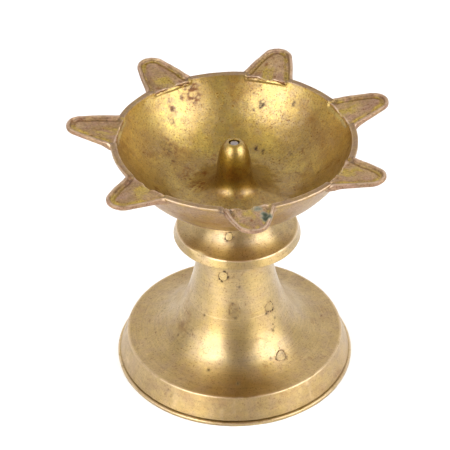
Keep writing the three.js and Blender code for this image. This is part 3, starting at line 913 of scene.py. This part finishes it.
def make_bowl():
    piece = revolve("bowl_casting", bowl_outline(), 480)
    warp(piece, 0.16, 10.0, 51)
    warp(piece, 0.05, 3.5, 59)
    points = points_of(piece)
    r, azimuth = around_axis(points)
    z = points[:, 2]
    a = np.radians(azimuth)
    ring = on_unit_ring(a)
    ragged = noise(ring * RIM_PATH, 1.6, 52)
    channel = spout_window(azimuth, CHANNEL_HALF, 1.4)
    seat = spout_window(azimuth, SEAT_HALF, 1.0)
    drop = seat * (SEAT_DROP + 0.2 * ragged) + channel * CHANNEL_DROP
    near_top = ease(RIM_Z - 3.4, RIM_Z - 0.2, z) * (r > 30)
    wobble = noise(ring * RIM_PATH, 9.0, 53) * 0.18
    points[:, 2] -= near_top * (drop - wobble)
    from_centre = np.linalg.norm(points - (0, 0, BOWL_CENTRE), axis=1)
    out_sphere = from_centre > BOWL_R - BOWL_WALL / 2
    swell = spout_window(azimuth, 11.2, 1.3) * np.exp(-np.clip(RIM_Z - 1.0 - z, 0, 99) / 2.4)
    swell = np.where(out_sphere & (r > 30), swell * JOINT_SWELL, 0)
    points[:, :2] *= (1 + swell / np.maximum(r, 1))[:, None]
    around_hump = bump_at(r, 21.0, 7.0) * (z > BOWL_CENTRE - INNER_R - 0.5) * ~out_sphere
    points[:, 2] += around_hump * noise(points, 9.0, 61) * 0.75
    move_points(piece, points)

    inside = ~out_sphere & (z < RIM_Z - 0.35)
    top = z >= RIM_Z - 0.35
    # The rim's edges are lighter from wear and also from painted highlight, which is strongest on the
    # front half that faces the lamps.
    front = 0.62 - 0.38 * np.sin(a)
    inner_edge = bump_at(np.hypot(r - RIM_INNER, z - RIM_Z), 0.1, 0.28) * (0.5 + 0.6 * ragged) * front
    outer_edge = bump_at(np.hypot(r - RIM_R, z - RIM_Z), 0.15, 0.30) * 0.7 * front
    stain_and_shade, grime_and_shade = np.zeros(len(points)), np.zeros(len(points))
    for k, (where, distance, size, brown, black) in enumerate(BOWL_STAINS_AND_REFLECTIONS):
        sideways = np.radians(turn_between(azimuth, where)) * distance
        away = np.hypot(sideways, r - distance) * (1 + 0.5 * noise(points, 2.5, 70 + k))
        spot = inside * (1 - ease(size * 0.3, size * 1.2, away))
        broken = ease(-0.35, 0.35, noise(points, 1.1, 90 + k))
        stain_and_shade = np.maximum(stain_and_shade, spot * brown * broken)
        grime_and_shade = np.maximum(grime_and_shade, spot * black * broken)
    oil = inside * ease(0.0, 0.55, noise(points, 12.0, 55)) * 0.7
    flecks = inside * ease(0.30, 0.55, noise(points, 1.8, 57))
    flecks = flecks * ease(-0.2, 0.5, noise(points, 15.0, 58))
    # A brown stain and painted shade on the boss's lower sides.
    hump_foot = inside * bump_at(r, 10.0, 5.0) * 0.35
    # Painted shadow: a dark line on the outside just under the lip, where the lip's shadow falls.
    under_lip = bump_at(z, RIM_Z - 1.7, 0.35) * out_sphere * 0.85
    stretched = points * (0.35, 0.35, 1.6)
    smears = out_sphere * ease(0.05, 0.5, noise(stretched, 4.0, 63)) * 0.55
    joint = spout_window(azimuth, 12.4, 0.7) - spout_window(azimuth, 11.4, 0.6)
    joint = np.clip(joint, 0, 1) * ease(RIM_Z - 4, RIM_Z - 1, z) * out_sphere
    shade = np.where(inside, -1.0, 1.3)
    shade[top] = 1.5
    paint(
        piece, turned_grain(points, np.where(r > 30, z, r), rings_per_mm=1.6),
        wear_and_highlight=inner_edge + outer_edge,
        grime_and_shade=grime_and_shade + under_lip + joint * 0.7,
        stain_and_shade=stain_and_shade + oil * 0.5 + hump_foot + flecks * 0.6 + smears,
        shade=shade,
    )
    finish_piece(piece, BOWL, "bowl", "bowl")


# ---- Wick spouts ----

SPOUT_TIP = 7.0
SPOUT_THICK = 2.1
SPOUT_ROOT_THICK = 1.1  # extra thickness where a spout is brazed to the rim
SPOUT_EDGE_ROUND, SPOUT_ROOT_ROUND = 0.5, 0.6
SPOUT_ROOT_R = RIM_INNER - 0.35


def tongue_side(reach, root_half, count):
    """One side of a spout's outline from the rim to the middle of its tip: (x, y) with y > 0."""
    centre = reach - SPOUT_TIP
    dx, dy = centre - RIM_R, root_half
    angle = math.pi / 2 - (math.atan2(dy, dx) - math.asin(SPOUT_TIP / math.hypot(dx, dy)))
    touch = np.array([centre + SPOUT_TIP * math.cos(angle), SPOUT_TIP * math.sin(angle)])
    slope = (root_half - touch[1]) / (RIM_R - touch[0])
    x = np.linspace(SPOUT_ROOT_R - SPOUT_ROOT_ROUND, touch[0], count)
    y = touch[1] + slope * (x - touch[0])
    y += 0.35 * np.sin(np.clip((x - RIM_R) / (touch[0] - RIM_R), 0, 1) * math.pi)
    y += 0.9 * (root_half > 10) * np.exp(-np.clip(x - RIM_R + 1.2, 0, 99) / 1.2)
    arc = np.linspace(angle, 0, count)[1:]
    tip = np.stack([centre + SPOUT_TIP * np.cos(arc), SPOUT_TIP * np.sin(arc)], 1)
    return np.vstack([np.stack([x, y], 1), tip])


def distance_to_line(points, line):
    """Shortest distance from each point to a line of short stretches."""
    best = np.full(len(points), 1e9)
    for a, b in zip(line[:-1], line[1:]):
        run = b - a
        t = np.clip(((points - a) @ run) / (run @ run), 0, 1)
        best = np.minimum(best, np.linalg.norm(points - (a + t[:, None] * run), axis=1))
    return best


def spout_surface(xy, edge, reach, seed):
    """Height of a spout's upper side below its border, by distance from the outline."""
    flat = np.column_stack([xy, np.zeros(len(xy))])
    part = np.clip((xy[:, 0] - RIM_R) / (reach - RIM_R), 0, 1)
    uneven = noise(flat, 3.5, seed) * 0.5
    border_width = 1.5 + uneven * 0.5
    groove_depth = 1.50 - 0.50 * part
    floor_depth = 0.68 - 0.42 * part
    into_groove = ease(border_width - 0.3, border_width + 0.8, edge)
    out_of_groove = ease(border_width + 1.2, border_width + 3.0, edge)
    depth = into_groove * groove_depth - out_of_groove * (groove_depth - floor_depth)
    channel = 1 - ease(1.8, 3.8, np.abs(xy[:, 1]) + uneven)
    channel = channel * (1 - ease(0.05, 0.35, part))
    depth = np.maximum(depth, channel * 1.3)
    ridge = 0.20 * bump_at(edge, border_width - 0.45, 0.3)
    pits = noise(flat, 1.1, seed + 6) * 0.08
    pits = pits + noise(flat * (0.4, 1.3, 1), 2.6, seed + 5) * 0.22
    return ridge - depth + pits, part, channel, border_width


def round_over(edge, radius):
    """How far a rounded edge has dropped, by distance from the edge."""
    return radius - np.sqrt(np.clip(radius**2 - np.clip(radius - edge, 0, radius) ** 2, 0, None))


def spout_mesh(spout, seed):
    """Closed mesh of one spout, level, plus each vertex's place on it."""
    side = tongue_side(spout["reach"], SPOUT_ROOT_HALF, 26)
    other = tongue_side(spout["reach"], spout["left"], 26)
    root_y = np.linspace(-other[0][1], side[0][1], 30)[1:-1]
    root_x = np.sqrt(SPOUT_ROOT_R**2 - root_y**2)
    flat_root = np.column_stack([root_x, root_y, np.zeros(len(root_y))])
    root_x += noise(flat_root, 2.4, seed + 3) * 0.7
    lower = other[:-1] * (1, -1)
    loop = np.vstack([lower, side[::-1], np.stack([root_x, root_y], 1)[::-1]])
    spine_start, spine_end = SPOUT_ROOT_R + 4.0, spout["reach"] - SPOUT_TIP
    spine = np.column_stack([np.clip(loop[:, 0], spine_start, spine_end), np.zeros(len(loop))])
    reach_in = np.linalg.norm(loop - spine, axis=1)
    insets = [0, 0.06, 0.16, 0.3, 0.5]
    rings = [loop + (spine - loop) * (d / reach_in)[:, None] for d in insets]
    start = rings[-1]
    rings += [start + (spine - start) * t for t in np.linspace(0, 1, 32)[1:]]
    size, count = len(loop), len(rings)
    xy = np.vstack(rings)
    open_edge = np.vstack([lower, side[::-1]])
    edge = distance_to_line(xy, open_edge)
    root_edge = distance_to_line(xy, loop[len(open_edge) - 1:])
    fall = np.maximum(round_over(edge, SPOUT_EDGE_ROUND), round_over(root_edge, SPOUT_ROOT_ROUND))
    top, part, channel, border = spout_surface(xy, edge, spout["reach"], seed)
    half = np.where(xy[:, 1] > 0, side[0][1], other[0][1])
    corner = ease(0.84, 0.95, np.abs(xy[:, 1]) / half)
    corner = corner * ease(RIM_R + 0.8, RIM_R - 0.4, xy[:, 0])
    lip = (1 - ease(0.2, 1.4, root_edge)) * (1 - channel)
    top = top * (1 - 0.65 * lip) - corner * 0.9
    flat = np.column_stack([xy, np.zeros(len(xy))])
    thick = SPOUT_THICK + SPOUT_ROOT_THICK * np.exp(-np.clip(xy[:, 0] - RIM_R, 0, 99) / 3.0)
    upper = np.column_stack([xy, top - fall])
    under = -thick + 0.35 * (1 - ease(0, 5, edge)) + noise(flat, 5.0, seed + 9) * 0.12
    lower_side = np.column_stack([xy, under + fall])
    points = np.vstack([upper, lower_side])
    faces = []
    for k in range(count - 1):
        a, b = k * size, (k + 1) * size
        for j in range(size):
            m = (j + 1) % size
            faces.append((a + j, a + m, b + m, b + j))
            faces.append(tuple(v + len(xy) for v in (a + m, a + j, b + j, b + m)))
    for j in range(size):
        m = (j + 1) % size
        faces.append((j + len(xy), m + len(xy), m, j))
    side_data = {
        "edge": np.tile(edge, 2), "part": np.tile(part, 2), "channel": np.tile(channel, 2),
        "border": np.tile(border, 2), "up": np.repeat([1.0, 0.0], len(xy)), "xy": np.vstack([xy, xy]),
    }
    return points, faces, side_data


def spout_matrix(spout):
    """Where a level spout goes: tilted and turned about its root, then round the rim."""
    root = Vector((RIM_R, 0, 0)) * MM
    lift = Vector((RIM_R, 0, RIM_Z)) * MM
    tilt = rotation(-spout["rise"], "Y")
    turn = rotation(spout["turn"], "Z")
    around = rotation(spout["azimuth"], "Z")
    return around @ Matrix.Translation(lift) @ turn @ tilt @ Matrix.Translation(-root)


def merge_close(piece, distance_mm):
    mesh = bmesh.new()
    mesh.from_mesh(piece.data)
    bmesh.ops.remove_doubles(mesh, verts=mesh.verts, dist=distance_mm * MM)
    bmesh.ops.recalc_face_normals(mesh, faces=mesh.faces)
    mesh.to_mesh(piece.data)
    mesh.free()


GREEN_SPOUT = 6
# The verdigris on it: along and across the spout, size, strength.
GREEN_SPOTS = ((57.5, 6.4, 2.8, 1.0), (60.4, 6.6, 3.2, 1.0), (53.0, 4.4, 2.8, 0.75))


def paint_spout(piece, data, number, seed):
    xy, edge, part, up = data["xy"], data["edge"], data["part"], data["up"]
    flat = np.column_stack([xy, up])
    border = data["border"]
    broken = noise(flat, 2.0, seed + 20)
    patch = ease(-0.45, 0.15, noise(flat * (0.5, 1, 1), 3.5, seed + 21))
    brighter_side = noise(np.zeros((1, 3)), 1.0, seed)
    side_patch = ease(-0.3, 0.3, np.sign(xy[:, 1]) * brighter_side + 0.35)
    outer_line = bump_at(edge, 0.50, 0.26) * up
    # Painted shade: the side walls round a spout's edge are darkened and dulled.
    flank = 1 - ease(0.04, 0.30, edge)
    ridge = outer_line + 0.45 * bump_at(edge, border - 0.35, 0.3)
    root = bump_at(xy[:, 0], SPOUT_ROOT_R + 0.1, 0.45) * up
    groove = bump_at(edge, border + 1.2, 1.0) * (1 - ease(0.80, 0.95, part)) * side_patch
    streaks = noise(flat * (0.3, 1.6, 1), 2.6, seed + 24)
    from_patch = np.hypot(xy[:, 0] - 58, xy[:, 1] - 3)
    root_patch = data["channel"] * 0.8 + bump_at(from_patch, 0, 3.5) * 0.8
    bare = up * np.clip((groove * 1.6 + root_patch) * patch * 1.5, 0, 1.4)
    black = bump_at(edge, border + 1.3, 0.6) * ease(0.15, 0.5, broken)
    black = black * ease(0.75, 0.3, part)
    # Painted shade: a broken dark line where the border drops into the groove.
    outline = bump_at(edge, border + 0.25, 0.32) * (0.5 + 0.4 * broken)
    verdigris = np.zeros(len(xy))
    if number == GREEN_SPOUT:
        for x, y, size, strength in GREEN_SPOTS:
            away = np.hypot(xy[:, 0] - x, xy[:, 1] - y) + broken * 1.2
            spot = strength * (1 - ease(size * 0.1, size * 1.4, away))
            verdigris = np.maximum(verdigris, spot)
    rusty = ease(0.0, 0.5, noise(flat, 2.8, seed + 23)) * 0.6
    brown = np.clip(rusty + 0.45 * ease(0.1, 0.6, streaks), 0, 1)
    brown = up * brown * (1 - np.clip(bare, 0, 1))
    dull_streaks = np.maximum(0.2 + 0.6 * np.clip(-streaks, 0, 1), flank)
    paint(
        piece, (xy[:, 0] * 0.35, xy[:, 1] * 2.2, up),
        wear_and_highlight=ridge * (0.75 + broken * 0.5) + root * (0.6 + broken),
        grime_and_shade=up * (black + outline) + 0.25 * flank,
        stain_and_shade=brown, bare=bare, verdigris=verdigris * up * 0.85,
        shade=np.where(up > 0, dull_streaks, 0.6),
    )


MERGE_WITHIN = 0.002


def make_spout(spout, number):
    seed = 200 + number * 31
    points, faces, data = spout_mesh(spout, seed)
    piece = make_object(f"wick_spout_{number}_casting", points, faces)
    paint_spout(piece, data, number, seed)
    merge_close(piece, MERGE_WITHIN)
    piece.data.transform(spout_matrix(spout))
    piece.data.update()
    finish_piece(piece, SPOUT, f"wick_spout_{number}", "bowl")


# ---- Camera, floor and light ----

def make_camera():
    """Looks down on the lamp from the front. Angles in degrees, distance in metres."""
    distance, elevation, pitch, yaw, roll = 0.7927, 33.97, 36.74, -0.39, 0.31
    data = bpy.data.cameras.new("camera")
    data.sensor_width = 36.0
    data.lens = 145.3
    data.clip_start = 0.05
    camera = add_object("camera", data)
    aside = 0.25 * MM
    up = math.radians(elevation)
    place = Vector((aside, -distance * math.cos(up), RIM_Z * MM + distance * math.sin(up)))
    camera.matrix_world = (
        Matrix.Translation(place)
        @ rotation(-yaw, "Z") @ rotation(-pitch, "X") @ rotation(roll, "Y") @ rotation(90, "X")
    )
    bpy.context.scene.camera = camera


def make_floor():
    n = Nodes("floor")
    n.put("Base Color", (0.88, 0.88, 0.88, 1))
    n.put("Roughness", 0.9)
    n.put("Specular IOR Level", 0.1)
    size = 4.0
    mesh = bpy.data.meshes.new("floor")
    corners = [(-size, -size, 0), (size, -size, 0), (size, size, 0), (-size, size, 0)]
    mesh.from_pydata(corners, [], [(0, 1, 2, 3)])
    floor = add_object("floor", mesh)
    floor.data.materials.append(n.material)


def softbox(name, azimuth, elevation, distance, width, height, radiance):
    """A rectangular lamp aimed at the bowl. Azimuth 0 is the camera's side, positive to the right."""
    data = bpy.data.lights.new(name, "AREA")
    data.shape = "RECTANGLE"
    data.size = width
    data.size_y = height
    data.energy = radiance * math.pi * width * height
    lamp = add_object(name, data)
    a, e = math.radians(azimuth), math.radians(elevation)
    away = Vector((math.sin(a) * math.cos(e), -math.cos(a) * math.cos(e), math.sin(e)))
    target = Vector((0, 0, 0.07))
    lamp.matrix_world = (
        Matrix.Translation(target + away * distance) @ away.to_track_quat("Z", "Y").to_matrix().to_4x4()
    )
    return lamp


def make_world():
    world = bpy.data.worlds.new("studio")
    world.use_nodes = True
    tree = world.node_tree
    back = tree.nodes["Background"]
    back.inputs["Strength"].default_value = 1.0
    place = tree.nodes.new("ShaderNodeTexCoord")
    split = tree.nodes.new("ShaderNodeSeparateXYZ")
    fade = tree.nodes.new("ShaderNodeMapRange")
    fade.interpolation_type = "SMOOTHSTEP"
    for key, value in (("From Min", -0.35), ("From Max", 0.75)):
        fade.inputs[key].default_value = value
    tint = tree.nodes.new("ShaderNodeMix")
    tint.data_type = "RGBA"
    tint.inputs[6].default_value = (0.37, 0.35, 0.35, 1)
    tint.inputs[7].default_value = (0.86, 0.83, 0.82, 1)
    tree.links.new(place.outputs["Generated"], split.inputs[0])
    tree.links.new(split.outputs["Y"], fade.inputs["Value"])
    tree.links.new(fade.outputs["Result"], tint.inputs[0])
    tree.links.new(tint.outputs[2], back.inputs["Color"])
    bpy.context.scene.world = world
    bpy.context.scene.view_settings.view_transform = "Standard"
    bpy.context.scene.view_settings.look = "Medium High Contrast"


make_camera()
make_floor()
make_world()
softbox("softbox_left", -38, 30, 0.55, 0.30, 0.46, 3.7)
softbox("softbox_left_wide", -66, 30, 0.55, 0.28, 0.46, 1.5)
softbox("softbox_right", 50, 30, 0.55, 0.26, 0.42, 2.65)
softbox("softbox_right_wide", 76, 30, 0.55, 0.30, 0.42, 2.6)
floor_light = softbox("floor_light", 180, 75, 2.2, 2.6, 2.6, 0.95)
floor_light.visible_glossy = False

make_pedestal()
make_bottom_plate()
make_collar()
make_stud()
make_bowl()
for index, spout in enumerate(SPOUTS):
    make_spout(spout, index + 1)
